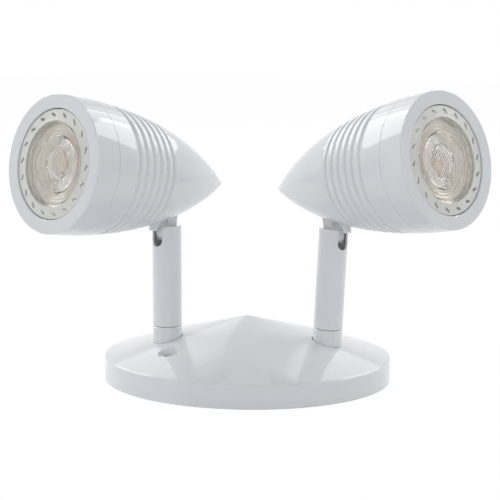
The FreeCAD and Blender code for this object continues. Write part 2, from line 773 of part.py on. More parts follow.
def make_knuckle(side, where):
    # the pin's ends are ground flush with the round of the tube
    skin = cell("tube_r") - cell("pin_inset")
    rod = cylinder("%s_pin_rod" % side, cell("pin_r"), skin * 2, (0, 0, -skin))
    round_of_tube = cylinder("%s_pin_round" % side, skin, cell("pin_r") * 4,
                             (0, -cell("pin_r") * 2, 0))
    round_of_tube.Placement.Rotation = FreeCAD.Rotation(V(1, 0, 0), -90)
    pin = doc.addObject("Part::Common", "%s_knuckle_pin" % side)
    pin.Base = rod
    pin.Tool = round_of_tube
    node(pin, where)
    bore = cell("tube_r") - cell("tube_wall")
    inner = TONGUE_THICK / 2 + cell("spacer_gap")
    outer = root(squared(bore) - squared(cell("spacer_r"))) - cell("spacer_gap")
    pieces = []
    for mark, start in (("a", inner), ("b", -outer)):
        pieces.append(ring("%s_spacer_%s" % (side, mark), cell("spacer_r"),
                           cell("pin_r") + cell("pin_fit"), outer - inner, (0, 0, start)))
    grouped("%s_friction_spacers" % side, pieces, where)


def make_stem_leads(side, where):
    start = SPIGOT_TOP + 0.3
    top = PIN_Z - cell("tongue_eye_r") - 0.6
    pieces = []
    for mark, sign in (("a", -1), ("b", 1)):
        pieces.append(cylinder("%s_stem_lead_%s" % (side, mark), cell("lead_r"), top - start,
                               (cell("lead_apart") / 2 * sign, 0, start)))
    grouped("%s_stem_leads" % side, pieces, where)


# Wiring in the canopy

def lead(points, bend, radius):
    """Round lead along straight runs that are joined by tangent arcs."""
    edges = []
    start = points[0]
    for index in range(1, len(points) - 1):
        before = (points[index - 1] - points[index]).normalize()
        after = (points[index + 1] - points[index]).normalize()
        turn = math.pi - before.getAngle(after)
        reach = bend * math.tan(turn / 2)
        first = points[index] + before * reach
        last = points[index] + after * reach
        middle = (before + after).normalize()
        centre = points[index] + middle * (bend / math.cos(turn / 2))
        edges.append(Part.LineSegment(start, first).toShape())
        edges.append(Part.Arc(first, centre - middle * bend, last).toShape())
        start = last
    edges.append(Part.LineSegment(start, points[-1]).toShape())
    path = Part.Wire(edges)
    along = (points[1] - points[0]).normalize()
    section = Part.Wire([Part.Circle(points[0], along, radius).toShape()])
    solid = path.makePipeShell([section], True, False)
    wanted = math.pi * radius ** 2 * path.Length
    print("lead volume over section times length %.5f" % (solid.Volume / wanted))
    return solid


def make_supply_leads():
    radius = number("lead_r")
    bend = number("lead_bend")
    half = number("lead_apart") / 2
    mouth_x = number("connector_x")
    inner_y = number("connector_y") + number("connector_depth") - 0.1
    for side, out in SIDES:
        stance = Stance(side, out, 0)
        wire_z = number("connector_z") + out * 1.75
        solids = []
        # the pair's inner lead ends in the near connector, the outer one in the far one
        for shift, target in ((half, out * (mouth_x + 1)), (-half, out * (1 - mouth_x))):
            offset = V(0, shift, 0)
            top = stance.base + stance.axis * SPIGOT_TOP.value + offset
            foot = stance.base + stance.axis * (SHANK_END.value - 0.5) + offset
            corner = V(foot.x, foot.y, wire_z)
            along = V(target, foot.y, wire_z)
            end = V(target, inner_y, wire_z)
            solids.append(lead([top, corner, along, end], bend, radius))
        item = doc.addObject("Part::Feature", "%s_supply_leads" % side)
        item.Label = "%s_supply_leads" % side
        item.Shape = Part.makeCompound(solids)
        node(item)


def connector(name, x, y, z):
    """Twist-on wire connector, lying along +Y with its mouth towards -Y."""
    outer = doc.addObject("Part::Cone", "%s_shell" % name)
    outer.setExpression("Radius1", cell("connector_r").text)
    outer.setExpression("Radius2", cell("connector_tip_r").text)
    outer.setExpression("Height", cell("connector_length").text)
    bore = cylinder("%s_bore" % name, cell("connector_bore_r"), cell("connector_depth"))
    item = cut(name, outer, bore)
    item.Placement = placement(V(1, 0, 0), V(0, 0, -1), V(0, 1, 0), V(x, y, z))
    return item


def make_wiring():
    make_supply_leads()
    x = number("connector_x")
    y = number("connector_y")
    z = number("connector_z")
    ground_x = -3 * x
    ground_y = y + 8
    pieces = [
        connector("line_connector", -x, y, z),
        connector("neutral_connector", x, y, z),
        connector("ground_connector", ground_x, ground_y, z + 1),
    ]
    grouped("wire_connectors", pieces, FreeCAD.Placement())
    stance = Stance("left", -1, 0)
    under = SEAT_Z - cell("canopy_wall") - cell("washer_thick") - cell("lug_thick")
    eye = cylinder("lug_eye", cell("washer_r"), cell("lug_thick"), (0, 0, under))
    strap = doc.addObject("Part::Box", "lug_strap")
    strap.setExpression("Length", "4")
    strap.setExpression("Width", (cell("washer_r") + 4).text)
    strap.setExpression("Height", cell("lug_thick").text)
    strap.setExpression("Placement.Base.x", "0 - 2")
    strap.setExpression("Placement.Base.z", under.text)
    barrel = ring("lug_barrel", cell("lead_r") + 0.9, cell("lead_r") + 0.05, 5)
    barrel.Placement = placement(V(1, 0, 0), V(0, 0, -1), V(0, 1, 0),
                                 V(0, number("washer_r") + 3, under.value - 0.6))
    solid = fuse("lug_body", [eye, strap, barrel])
    bore = cylinder("lug_hole", cell("shank_r") + 0.02, cell("lug_thick"), (0, 0, under))
    inlet = cylinder("lug_wire_way", cell("lead_r") + 0.05, sized(5))
    inlet.Placement = placement(V(1, 0, 0), V(0, 0, -1), V(0, 1, 0),
                                V(0, number("washer_r") + 3, under.value - 0.6))
    lug = cut("ground_lug", solid, fuse("lug_holes", [bore, inlet]))
    lug.Label = "ground_lug"
    node(lug, stance.stem())
    start = stance.stem().multVec(V(0, number("washer_r") + 3.2, under.value - 0.6))
    ahead = stance.stem().multVec(V(0, number("washer_r") + 12, under.value - 0.6))
    near = V(ground_x, ground_y - 5, z + 1)
    end = V(ground_x, ground_y + number("connector_depth") - 0.1, z + 1)
    item = doc.addObject("Part::Feature", "ground_lead")
    item.Label = "ground_lead"
    item.Shape = lead([start, ahead, near, end], number("lead_bend"), number("lead_r"))
    node(item)


# Head

def make_housing(side, where):
    break_t = cell("seam_break")
    seam = cell("seam_t") + cell("seam_gap")
    front = FRONT_SPIGOT_R
    half = cell("groove_half")
    drop = cell("rib_drop")
    steps = [
        (0, cell("spigot_t")),
        (front - 0.4, cell("spigot_t")),
        (front, cell("spigot_t") + 0.4),
        (front, seam),
        (barrel_r(seam + break_t) - break_t, seam),
        (barrel_r(seam + break_t), seam + break_t),
    ]
    grooves = 6
    for index in range(grooves):
        middle = cell("groove_first") + cell("groove_pitch") * index
        before = (barrel_r(middle - half) - drop, middle - half)
        after = (barrel_r(middle + half) - drop, middle + half)
        if index == 0:
            lip = middle - half * 2
            steps.append((barrel_r(lip), lip, cell("barrel_curve"), 1))
            steps.append(before)
        else:
            steps.append(before + (cell("rib_round"), 1))
        steps.append(after + (cell("groove_round"), -1))
        if index == grooves - 1:
            lip = middle + half * 2
            steps.append((barrel_r(lip), lip))
    change = cell("curve_change_t")
    centre_x, centre_t = tail_centre()
    tail = cell("tail_curve")
    tip = cell("tip_round")
    tip_centre = centre_t + root(squared(tail - tip) - squared(centre_x))
    share = tail / (tail - tip)
    steps.append((barrel_r(change), change, cell("barrel_curve"), 1))
    steps.append((centre_x - centre_x * share, centre_t + (tip_centre - centre_t) * share,
                  tail, 1))
    steps.append((0, tip_centre + tip, tip, 1))
    body = new_body("%s_head_housing" % side)
    revolve(body, steps)

    # the tongue under the head, in the plane across the cross pin
    rise = HEAD_RISE
    back = cell("pin_back")
    inside = tail_r(back) - 4

    def spot(ahead, above):
        return (rise - above, back - ahead)

    eye = cell("tongue_eye_r")
    neck = cell("tongue_neck") / 2
    meet = root(squared(eye) - squared(neck))
    flare = cell("tongue_flare")
    skin = rise - tail_r(back + neck)
    tongue = sketch_on(body, "YZ_Plane")
    outline(tongue, [
        spot(neck, rise - inside),
        spot(neck, meet),
        spot(eye, sized(0)) + (eye, 1),
        spot(sized(0), -eye) + (eye, 1),
        spot(-eye, sized(0)) + (eye, 1),
        spot(-neck, meet) + (eye, 1),
        spot(-neck, skin - flare / 2),
        spot(-neck - flare, skin + flare / 2) + (flare, -1),
        spot(-neck - flare, rise - inside),
    ])
    extrude(body, tongue, TONGUE_THICK, "PartDesign::Pad", both=True)

    # the nose that covers the wire holes in front of the tube, round in plan
    half = TONGUE_THICK / 2
    low = cell("nose_low")
    back_r = cell("tube_r") + cell("nose_clear")
    root_a = back_r - cell("nose_root")
    front_a = back_r + cell("nose_depth")
    nose = sketch_on(body, "XZ_Plane", -inside)
    outline(nose, [
        (half, back - root_a),
        (half, back - front_a + half),
        (0, back - front_a, half, -1),
        (-half, back - front_a + half, half, -1),
        (-half, back - root_a),
    ])
    extrude(body, nose, rise - inside - low, "PartDesign::Pad", flip=True)
    trim = sketch_on(body, "YZ_Plane")
    under = low - 1
    end_a = root_a + cell("nose_ledge")
    over = root(squared(back_r) - squared(end_a))
    outline(trim, [
        spot(root_a - 1, under),
        spot(root(squared(back_r) - squared(under)), under),
        spot(end_a, over) + (back_r, -1),
        spot(root_a - 1, over),
    ])
    extrude(body, trim, half * 2 + 2, "PartDesign::Pocket", both=True)
    corner = cell("nose_round")
    trim = sketch_on(body, "YZ_Plane")
    outline(trim, [
        spot(front_a - corner, low),
        spot(front_a, low + corner) + (corner, -1),
        spot(front_a + 1, low + corner),
        spot(front_a + 1, under),
        spot(front_a - corner, under),
    ])
    extrude(body, trim, half * 2 + 2, "PartDesign::Pocket", both=True)
    hole = sketch_on(body, "YZ_Plane")
    circle_in(hole, rise, back, cell("pin_r") + cell("tongue_fit"))
    extrude(body, hole, TONGUE_THICK + 2, "PartDesign::Pocket", both=True)
    end = cell("cavity_end_t")
    deep = CAVITY_R - cell("cavity_curve") + root(
        squared(cell("cavity_curve")) - squared(end - cell("cavity_straight_t")))
    revolve(body, [
        (0, cell("spigot_t") - 1),
        (CAVITY_R, cell("spigot_t") - 1),
        (CAVITY_R, cell("cavity_straight_t")),
        (deep, end, cell("cavity_curve"), 1),
        (0, end),
    ], "PartDesign::Groove")
    ways = sketch_on(body, "XZ_Plane")
    for sign in (-1, 1):
        circle_in(ways, cell("wire_hole_x") * sign, back - cell("wire_hole_ahead"),
                  cell("wire_hole_r"))
    extrude(body, ways, None, "PartDesign::Pocket")
    posts = [(cell("post_x"), 0), (-cell("post_x"), 0)]
    start = cell("holder_end_t") + cell("bracket_thick")
    disc_features(body, posts, cell("post_r"), start, end - start + 1, "PartDesign::Pad")
    disc_features(body, posts, cell("screw_r") + 0.02, start,
                  end - start - 3, "PartDesign::Pocket", flip=True)
    node(body, where)


def make_bezel(side, where):
    bore = FRONT_SPIGOT_R + cell("front_fit")
    edge = cell("edge_break")
    break_t = cell("seam_break")
    body = new_body("%s_bezel" % side)
    seam = cell("seam_t")
    revolve(body, [
        (OPENING_R + edge, 0),
        (cell("face_r") - edge, 0),
        (cell("face_r"), edge),
        (cell("face_r"), cell("straight_t")),
        (barrel_r(seam - break_t), seam - break_t, cell("barrel_curve"), 1),
        (barrel_r(seam - break_t) - break_t, seam),
        (bore, seam),
        (bore, cell("bezel_front")),
        (OPENING_R, cell("bezel_front")),
        (OPENING_R, edge),
    ])
    node(body, where)


def make_holder(side, where):
    start = cell("base_end_t") + cell("holder_gap")
    length = cell("holder_end_t") - start
    posts = [(cell("post_x"), 0), (-cell("post_x"), 0)]
    body = new_body("%s_lamp_holder" % side)
    edge = sized(0.8)
    revolve(body, [
        (0, start),
        (cell("holder_r") - edge, start),
        (cell("holder_r"), start + edge),
        (cell("holder_r"), cell("holder_end_t")),
        (0, cell("holder_end_t")),
    ])
    sockets = [(0, cell("lamp_pin_y")), (0, -cell("lamp_pin_y"))]
    disc_features(body, sockets, cell("socket_r"), start, cell("socket_depth"),
                  "PartDesign::Pocket", flip=True)
    disc_features(body, posts, cell("screw_head_r") + 0.3, start, cell("screw_head") + 1,
                  "PartDesign::Pocket", flip=True)
    disc_features(body, posts, cell("screw_r") + cell("screw_clear"), start, length + 1,
                  "PartDesign::Pocket", flip=True)
    node(body, where)

    bracket = new_body("%s_holder_bracket" % side)
    plate = sketch_on(bracket, "XY_Plane", cell("holder_end_t"))
    half_x = cell("bracket_length") / 2
    half_y = cell("bracket_width") / 2
    outline(plate, [
        (half_x, half_y - 3),
        (half_x - 3, half_y, sized(3), 1),
        (-half_x + 3, half_y),
        (-half_x, half_y - 3, sized(3), 1),
        (-half_x, -half_y + 3),
        (-half_x + 3, -half_y, sized(3), 1),
        (half_x - 3, -half_y),
        (half_x, -half_y + 3, sized(3), 1),
    ])
    extrude(bracket, plate, cell("bracket_thick"), "PartDesign::Pad")
    disc_features(bracket, posts, cell("screw_r") + cell("screw_clear"), cell("holder_end_t"),
                  cell("bracket_thick") + 1, "PartDesign::Pocket", flip=True)
    ways = [(cell("wire_hole_x"), cell("wire_hole_y")),
            (-cell("wire_hole_x"), cell("wire_hole_y"))]
    disc_features(bracket, ways, cell("wire_hole_r"), cell("holder_end_t"),
                  cell("bracket_thick") + 1, "PartDesign::Pocket", flip=True)
    node(bracket, where)

    pieces = []
    head_t = start + 1
    for mark, sign in (("a", 1), ("b", -1)):
        x = cell("post_x") * sign
        head = cylinder("%s_screw_head_%s" % (side, mark), cell("screw_head_r"),
                        cell("screw_head"), (x, 0, head_t))
        shaft = cylinder("%s_screw_shaft_%s" % (side, mark), cell("screw_r"),
                         cell("screw_length"), (x, 0, head_t + cell("screw_head")))
        pieces.append(fuse("%s_screw_%s" % (side, mark), [head, shaft]))
    grouped("%s_holder_screws" % side, pieces, where)

    hole_t = number("pin_back") - number("wire_hole_ahead")
    mouth = tail_r(sized(hole_t)).value - 0.3
    solids = []
    for sign in (-1, 1):
        x = sign * number("wire_hole_x")
        turn_y = number("wire_hole_y")
        route = [V(x, mouth, hole_t), V(x, turn_y, hole_t),
                 V(x, turn_y, number("holder_end_t") + 0.05)]
        solids.append(lead(route, number("lead_bend"), number("lead_r")))
    item = doc.addObject("Part::Feature", "%s_head_leads" % side)
    item.Label = "%s_head_leads" % side
    item.Shape = Part.makeCompound(solids)
    node(item, where)


def make_lamp(side, where):
    face = cell("lamp_face_t")
    outer = cell("lamp_r")
    thick = cell("lamp_ring_thick")
    lens = cell("lens_r")
    shell = cell("lamp_shell")
    ring_body = new_body("%s_lamp_ring" % side)
    revolve(ring_body, [
        (lens + 0.05, face - cell("lamp_lip")),
        (lens + cell("lamp_lip_width") - 0.2, face - cell("lamp_lip")),
        (lens + cell("lamp_lip_width"), face),
        (outer - 0.5, face),
        (outer, face + 0.5),
        (outer, face + thick),
        (lens + 0.05, face + thick),
    ])
    turn = cell("lamp_slot_turn")
    long_x = sine(turn) * cell("lamp_slot_length") / 2
    long_y = -cosine(turn) * cell("lamp_slot_length") / 2
    wide_x = cosine(turn) * cell("lamp_slot_width") / 2
    wide_y = sine(turn) * cell("lamp_slot_width") / 2
    middle = lens + cell("lamp_slot_out")
    sketch = sketch_on(ring_body, "XY_Plane", face)
    outline(sketch, [
        (middle - long_x - wide_x, -long_y - wide_y),
        (middle + long_x - wide_x, long_y - wide_y),
        (middle + long_x + wide_x, long_y + wide_y),
        (middle - long_x + wide_x, wide_y - long_y),
    ])
    slot = extrude(ring_body, sketch, thick + 1, "PartDesign::Pocket", flip=True)
    pattern = ring_body.newObject("PartDesign::PolarPattern", "%s_slots" % side)
    pattern.Originals = [slot]
    pattern.Axis = (sketch, ["N_Axis"])
    pattern.Angle = 360
    pattern.setExpression("Occurrences", "Sizes.lamp_slots")
    ring_body.Tip = pattern
    doc.recompute()
    node(ring_body, where)

    lens_body = new_body("%s_lamp_lens" % side)
    revolve(lens_body, [
        (0, face + 0.2),
        (lens - 0.6, face + 0.5),
        (lens, face + 1.1),
        (lens, face + 0.5 + cell("lens_thick")),
        (0, face + 0.5 + cell("lens_thick")),
    ])
    node(lens_body, where)

    neck_t = cell("lamp_neck_t")
    neck = cell("lamp_neck_r")
    rim_t = face + thick
    curve = sized(38)
    board_t = cell("led_t")
    body = new_body("%s_lamp_body" % side)
    revolve(body, [
        (outer - 0.8 - shell, rim_t),
        (outer - 0.8, rim_t),
        (outer - 0.8, rim_t + 1.5),
        (neck, neck_t - 3, curve, 1),
        (neck, neck_t),
        (neck - shell - 0.6, neck_t),
        (neck - shell - 0.6, neck_t - 4),
        (cell("board_r") - 0.8, board_t + 2.5, curve - 4, -1),
        (cell("board_r") + 0.05, board_t + 1.2),
        (cell("board_r") + 0.05, board_t),
    ])
    node(body, where)

    led = new_body("%s_led_module" % side)
    revolve(led, [
        (0, board_t - 1.4),
        (5.0, board_t - 1.4),
        (5.4, board_t),
        (cell("board_r"), board_t),
        (cell("board_r"), board_t + 1.2),
        (0, board_t + 1.2),
    ])
    node(led, where)

    base = new_body("%s_lamp_base" % side)
    base_r = cell("base_r")
    base_end = cell("base_end_t")
    revolve(base, [
        (0, neck_t - 4),
        (neck - shell - 0.65, neck_t - 4),
        (neck - shell - 0.65, neck_t + 0.02),
        (base_r, neck_t + 0.02),
        (base_r, base_end - 0.8),
        (base_r - 0.8, base_end),
        (0, base_end),
    ])
    sockets = [(0, cell("lamp_pin_y")), (0, -cell("lamp_pin_y"))]
    disc_features(base, sockets, cell("lamp_pin_r") + 0.02, base_end, sized(3.1),
                  "PartDesign::Pocket")
    node(base, where)

    pieces = []
    for mark, sign in (("a", 1), ("b", -1)):
        y = cell("lamp_pin_y") * sign
        stalk = cylinder("%s_lamp_pin_stalk_%s" % (side, mark), cell("lamp_pin_r"),
                         cell("lamp_pin_length") + 1, (0, y, base_end - 3))
        cap = cylinder("%s_lamp_pin_cap_%s" % (side, mark), cell("lamp_pin_head_r"),
                       sized(2.4), (0, y, base_end - 2.4 + cell("lamp_pin_length")))
        pieces.append(fuse("%s_lamp_pin_%s" % (side, mark), [stalk, cap]))
    grouped("%s_lamp_pins" % side, pieces, where)


make_canopy()
for side, out in SIDES:
    fixed = Stance(side, out, 0)
    aimed = Stance(side, out, number("%s_pan" % side))
    make_collar(side, out, fixed.stem())
    make_fasteners(side, fixed.stem(), cell("lug_thick") if side == "left" else sized(0))
    make_swivel_hardware(side, fixed.stem())
    make_tube(side, aimed.stem())
    make_plug(side, aimed.stem())
    make_knuckle(side, aimed.cross_pin())
    make_stem_leads(side, aimed.stem())
    make_housing(side, aimed.head())
    make_bezel(side, aimed.head())
    make_holder(side, aimed.head())
    make_lamp(side, aimed.head())
make_wiring()
doc.recompute()

for item in doc.Objects:
    if "Invalid" in item.State or "Error" in item.State:
        raise RuntimeError("failed object %s: %s" % (item.Label, item.State))
for piece in NODES:
    if piece.Shape.isNull() or not piece.Shape.isValid():
        raise RuntimeError("bad shape in %s" % piece.Label)

os.makedirs("parts", exist_ok=True)
for piece in NODES:
    piece.Shape.exportStep("parts/%s.step" % piece.Label)
    box = piece.Shape.BoundBox
    print("%-24s solids %d volume %10.2f z %7.2f %7.2f" % (
        piece.Label, len(piece.Shape.Solids), piece.Shape.Volume, box.ZMin, box.ZMax))
print("nodes %d" % len(NODES))
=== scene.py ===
import json
import math

import bmesh
import bpy
from mathutils import Matrix, Vector
from mathutils.geometry import delaunay_2d_cdt


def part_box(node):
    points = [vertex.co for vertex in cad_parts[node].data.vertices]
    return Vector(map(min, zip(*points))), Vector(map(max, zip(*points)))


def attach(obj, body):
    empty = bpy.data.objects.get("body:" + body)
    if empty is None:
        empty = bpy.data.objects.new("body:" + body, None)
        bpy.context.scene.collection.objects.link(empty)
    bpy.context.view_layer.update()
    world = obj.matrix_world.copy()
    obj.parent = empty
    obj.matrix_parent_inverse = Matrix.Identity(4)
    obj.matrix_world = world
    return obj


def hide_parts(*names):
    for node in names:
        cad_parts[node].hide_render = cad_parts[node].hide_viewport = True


# Looks of the twin wall spotlight: white enamel, plated hardware, lamps with a ribbed
# lens, soft studio light and the photograph's camera. Metres, in the CAD frame.

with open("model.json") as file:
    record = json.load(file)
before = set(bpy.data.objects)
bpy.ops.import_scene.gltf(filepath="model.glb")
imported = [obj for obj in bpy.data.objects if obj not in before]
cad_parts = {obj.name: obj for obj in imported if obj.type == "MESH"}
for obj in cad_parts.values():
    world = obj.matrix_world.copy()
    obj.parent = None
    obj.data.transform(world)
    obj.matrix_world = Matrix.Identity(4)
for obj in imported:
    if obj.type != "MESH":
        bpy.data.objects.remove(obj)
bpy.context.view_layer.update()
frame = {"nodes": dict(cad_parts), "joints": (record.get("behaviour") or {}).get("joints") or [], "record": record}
nodes = frame["nodes"]
scene = bpy.context.scene
MM = 0.001

# Camera, fitted to the outlines of canopy, stems and heads in the photograph

CAMERA_SIDE = math.radians(2.81)
CAMERA_RISE = math.radians(8.49)
CAMERA_ROLL = math.radians(0.634)
CAMERA_DISTANCE = 0.8368
CAMERA_TARGET = Vector((0.00061, 0.0, 0.06262))
SENSOR_WIDTH = 36.0
FOCAL_PIXELS = 1719.2
PHOTO_WIDTH = 500
CLIP_START = 0.01

# The stage: floor, backdrop and room. The stops are pairs of the sine of a ray's
# elevation and its brightness, the two ends first.

WHITE = (1, 1, 1, 1)
FLOOR_REACH = 3.0
FLOOR_GAP = 0.0002
FLOOR_COLOUR = (0.89, 0.90, 0.91, 1)
FLOOR_ROUGHNESS = 0.8
FLOOR_WHITENESS = 0.96
FLOOR_GLOW = 1.01
BACKDROP_STOPS = ((0.0, 1.0), (1.0, 0.34), (0.26, 0.8), (0.6, 0.26))
ROOM_STOPS = ((0.0, 1.17), (1.0, 0.38), (0.45, 1.1), (0.6, 0.8))
BACKDROP_BLEND = 0.5
COOLNESS = (0.97, 1.0, 1.02, 1)
LEFT_STRENGTH = 1.04
RIGHT_STRENGTH = 0.8

# Name, sideways and upward place in degrees, distance, size and radiance of each lamp

SOFTBOXES = (
    ("softbox_right", 125, 33, 1.3, (0.70, 0.58), 3.4),
    ("panel_right", 149, 34, 1.5, (0.475, 0.748), 1.9),
    ("edge_right", 164, 35, 1.5, (0.315, 0.80), 0.65),
    ("softbox_left", -121, 33, 1.3, (0.86, 0.60), 3.4),
    ("panel_left", -146, 34, 1.5, (0.40, 0.748), 1.4),
    ("edge_left", -161, 31, 1.5, (0.40, 0.58), 0.55),
)

# Angles in degrees above which an edge is shaded as sharp

CAD_SHARP = 32
PIECE_SHARP = 24
LENS_SHARP = 14
RING_SHARP = 30
REFLECTOR_SHARP = 40
DAM_SHARP = 60


def add_camera():
    back = Vector((math.sin(CAMERA_SIDE) * math.cos(CAMERA_RISE),
                   -math.cos(CAMERA_SIDE) * math.cos(CAMERA_RISE),
                   math.sin(CAMERA_RISE)))
    right = (-back).cross(Vector((0, 0, 1))).normalized()
    up = right.cross(-back)
    rolled_right = right * math.cos(CAMERA_ROLL) + up * math.sin(CAMERA_ROLL)
    rolled_up = up * math.cos(CAMERA_ROLL) - right * math.sin(CAMERA_ROLL)
    place = Matrix((rolled_right, rolled_up, back)).transposed().to_4x4()
    place.translation = CAMERA_TARGET + back * CAMERA_DISTANCE
    data = bpy.data.cameras.new("camera")
    data.sensor_width = SENSOR_WIDTH
    data.lens = FOCAL_PIXELS / PHOTO_WIDTH * SENSOR_WIDTH
    data.clip_start = CLIP_START
    camera = bpy.data.objects.new("camera", data)
    scene.collection.objects.link(camera)
    camera.matrix_world = place
    scene.camera = camera


# Materials

# The part of a noise's range that is spread over a material's tones and sheen

NOISE_LOW = 0.3
NOISE_HIGH = 0.7
GRAIN_HEIGHT = 0.00005


class Nodes:
    """A material's node tree with short calls for the nodes that are used here."""

    def __init__(self, name):
        self.material = bpy.data.materials.new(name)
        self.material.use_nodes = True
        self.tree = self.material.node_tree
        self.shader = self.tree.nodes["Principled BSDF"]
        self.place = self.tree.nodes.new("ShaderNodeTexCoord").outputs["Object"]

    def link(self, source, target):
        self.tree.links.new(source, target)

    def noise(self, scale, detail, stretch=None):
        """A noise by place; a stretch makes it that much finer along Z."""
        node = self.tree.nodes.new("ShaderNodeTexNoise")
        node.inputs["Scale"].default_value = scale
        node.inputs["Detail"].default_value = detail
        source = self.place
        if stretch is not None:
            mapping = self.tree.nodes.new("ShaderNodeMapping")
            mapping.inputs["Scale"].default_value = (1, 1, stretch)
            self.link(source, mapping.inputs["Vector"])
            source = mapping.outputs["Vector"]
        self.link(source, node.inputs["Vector"])
        return node.outputs["Fac"]

    def colour(self, source, tones):
        node = self.tree.nodes.new("ShaderNodeValToRGB")
        places = (NOISE_LOW, NOISE_HIGH)
        for element, position, tone in zip(node.color_ramp.elements, places, tones):
            element.position = position
            element.color = tone + (1,)
        self.link(source, node.inputs["Fac"])
        self.link(node.outputs["Color"], self.shader.inputs["Base Color"])

    def roughness(self, source, low, high):
        node = self.tree.nodes.new("ShaderNodeMapRange")
        node.inputs["From Min"].default_value = NOISE_LOW
        node.inputs["From Max"].default_value = NOISE_HIGH
        node.inputs["To Min"].default_value = low
        node.inputs["To Max"].default_value = high
        self.link(source, node.inputs["Value"])
        self.link(node.outputs["Result"], self.shader.inputs["Roughness"])

    def bump(self, source, strength, height):
        node = self.tree.nodes.new("ShaderNodeBump")
        node.inputs["Strength"].default_value = strength
        node.inputs["Distance"].default_value = height
        self.link(source, node.inputs["Height"])
        self.link(node.outputs["Normal"], self.shader.inputs["Normal"])


def finish(name, tones, tone_noise, roughness, sheen_noise, grain_noise=None,
           grain_strength=0.1, grain_height=GRAIN_HEIGHT, **shader):
    """A material of two tones with an uneven sheen and a fine grain. Each noise is its
    scale per metre, its detail and, where it is drawn out, its stretch."""
    made = Nodes(name)
    made.colour(made.noise(*tone_noise), tones)
    made.roughness(made.noise(*sheen_noise), *roughness)
    if grain_noise is not None:
        made.bump(made.noise(*grain_noise), grain_strength, grain_height)
    for socket, value in shader.items():
        made.shader.inputs[socket.replace("_", " ")].default_value = value
    return made.material


def plastic(name, tones, roughness, grain_noise=(1400, 2), grain_strength=0.1):
    """Moulded plastic with a fine grain and a slightly uneven tone."""
    return finish(name, tones, (60, 3), roughness, (300, 3), grain_noise, grain_strength)


def make_materials():
    """One material for each slot, and two for what the lamps hold behind the lens."""
    return {
        # glossy, with a faint orange peel
        "white_paint": finish(
            "white_enamel", tones=((0.694, 0.704, 0.720), (0.724, 0.734, 0.750)),
            tone_noise=(35, 3), roughness=(0.06, 0.11), sheen_noise=(90, 4),
            grain_noise=(900, 1.5), grain_strength=0.06, IOR=1.5),
        # both metals with fine turning marks
        "zinc_steel": finish(
            "zinc_plated_steel", tones=((0.50, 0.51, 0.53), (0.68, 0.68, 0.67)),
            tone_noise=(220, 4), roughness=(0.22, 0.42), sheen_noise=(500, 3, 6),
            grain_noise=(1500, 2, 8), grain_strength=0.15, Metallic=1.0),
        "brass_part": finish(
            "turned_brass", tones=((0.58, 0.44, 0.18), (0.76, 0.61, 0.30)),
            tone_noise=(260, 4), roughness=(0.2, 0.38), sheen_noise=(600, 3, 6),
            grain_noise=(1500, 2, 8), grain_strength=0.12, Metallic=1.0),
        "black_lead": plastic(
            "black_lead", ((0.012, 0.012, 0.013), (0.03, 0.03, 0.032)), (0.3, 0.5)),
        "green_lead": plastic(
            "green_lead", ((0.02, 0.16, 0.04), (0.04, 0.24, 0.07)), (0.3, 0.5)),
        "connector_plastic": plastic(
            "connector_plastic", ((0.62, 0.20, 0.02), (0.75, 0.28, 0.04)), (0.35, 0.5)),
        "spacer_plastic": plastic(
            "spacer_plastic", ((0.70, 0.70, 0.67), (0.80, 0.80, 0.77)), (0.35, 0.55)),
        "lamp_plastic": plastic(
            "lamp_plastic", ((0.67, 0.66, 0.615), (0.73, 0.72, 0.675)), (0.28, 0.42),
            grain_noise=(1100, 2), grain_strength=0.05),
        # clear, with a faint warm tint
        "clear_lens": finish(
            "clear_lens", tones=((0.95, 0.925, 0.885), (0.99, 0.97, 0.94)),
            tone_noise=(120, 2), roughness=(0.01, 0.03), sheen_noise=(400, 2),
            Transmission_Weight=0.95, IOR=1.49),
        # a pale board with a faint warm mottle
        "led_board": finish(
            "led_board", tones=((0.60, 0.54, 0.45), (0.74, 0.69, 0.60)),
            tone_noise=(420, 4), roughness=(0.25, 0.5), sheen_noise=(500, 3),
            grain_noise=(1800, 3), grain_strength=0.2, grain_height=0.00008),
        # amber gel over the chips
        "phosphor": finish(
            "amber_phosphor", tones=((0.62, 0.45, 0.22), (0.72, 0.57, 0.33)),
            tone_noise=(900, 3), roughness=(0.18, 0.32), sheen_noise=(500, 3),
            grain_noise=(1600, 2), grain_strength=0.15, grain_height=0.00006),
        # satin, slightly warm, with a faint turned grain
        "satin_reflector": finish(
            "satin_reflector", tones=((0.80, 0.77, 0.715), (0.87, 0.85, 0.81)),
            tone_noise=(260, 3, 5), roughness=(0.17, 0.25), sheen_noise=(420, 3),
            grain_noise=(1300, 2), grain_strength=0.08, Metallic=0.42),
        "ceramic": finish(
            "steatite_ceramic", tones=((0.72, 0.70, 0.64), (0.82, 0.80, 0.75)),
            tone_noise=(140, 5), roughness=(0.45, 0.7), sheen_noise=(500, 4),
            grain_noise=(1600, 4), grain_strength=0.25, grain_height=0.0001),
    }


def dress_nodes(materials):
    """Gives each carried-over CAD node the material of its slot, shaded smoothly."""
    for part in frame["record"]["subparts"]:
        item = nodes[part["node"]]
        item.data.materials.clear()
        item.data.materials.append(materials[part["material_slot"]])
        for face in item.data.polygons:
            face.use_smooth = True
        item.data.set_sharp_from_angle(angle=math.radians(CAD_SHARP))


# Lamp optics: a moulded lens with a faceted middle and stepped rings, a satin reflector
# behind it, and a circuit board with one round light source. Millimetres from here on,
# as radius and depth behind the front of the CAD lens.

